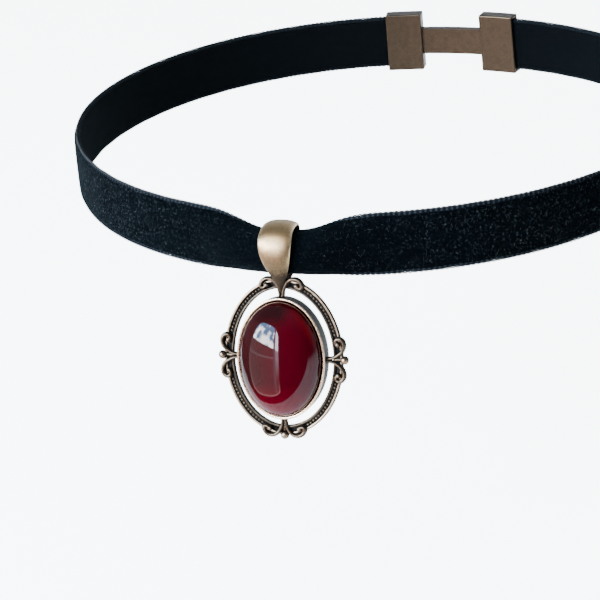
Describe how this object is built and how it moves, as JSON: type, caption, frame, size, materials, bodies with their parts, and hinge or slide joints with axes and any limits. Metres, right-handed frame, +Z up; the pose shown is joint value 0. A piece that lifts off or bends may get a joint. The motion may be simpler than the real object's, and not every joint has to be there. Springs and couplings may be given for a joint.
{
  "type": "choker necklace",
  "caption": "Velvet ribbon choker, closed at the back, with an oval domed glass stone in a beaded openwork setting on a bail.",
  "frame": {"origin": "middle of the neck opening, at the mean height of the ribbon's middle line", "axes": "+Z up along the neck, -Y towards the front where the pendant hangs, +X to the viewer's right"},
  "size_m": [0.1092, 0.1067, 0.044],
  "materials": {
    "black_velvet": "black velvet pile with a blue-grey sheen and woven edges",
    "antique_bronze": "antiqued bronze, darkened in the recesses and worn pale on the raised work",
    "red_glass": "polished deep red glass",
    "plain_metal": "plain antiqued bronze"
  },
  "bodies": {
    "root": {"velvet_ribbon": "black_velvet", "setting": "antique_bronze", "cabochon": "red_glass", "clasp": "plain_metal"}
  },
  "joints": []
}
